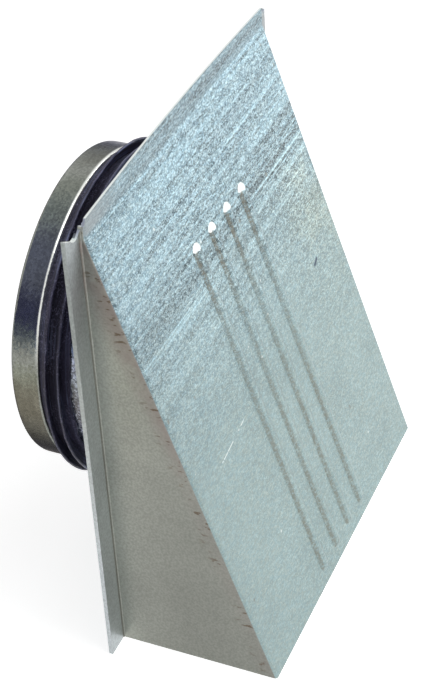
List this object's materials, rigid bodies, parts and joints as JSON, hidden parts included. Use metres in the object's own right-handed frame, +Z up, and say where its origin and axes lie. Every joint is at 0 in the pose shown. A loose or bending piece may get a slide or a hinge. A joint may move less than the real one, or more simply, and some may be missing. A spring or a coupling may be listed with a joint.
{
  "type": "wall vent hood",
  "caption": "Folded sheet-metal vent hood with a sloped ribbed front, open underneath, on a flat back plate with a round duct spigot sealed by a double-lip rubber ring.",
  "frame": {"origin": "middle of the bottom edge of the back plate's rear face, which lies on the wall", "axes": "+Z up along the wall, +Y out of the back along the duct spigot and into the wall, +X across the width; the hood stands out from the wall towards -Y"},
  "size_m": [0.1725, 0.108, 0.1945],
  "materials": {
    "galvanised_sheet": "hot-dip galvanised with a bluish sheen and a fine spangle",
    "spigot_sheet": "bright rolled galvanised sheet",
    "seal_rubber": "smooth matte EPDM"
  },
  "bodies": {
    "root": {"hood_cover": "galvanised_sheet", "back_plate": "galvanised_sheet", "duct_spigot": "spigot_sheet", "lip_seal": "seal_rubber"}
  },
  "joints": []
}
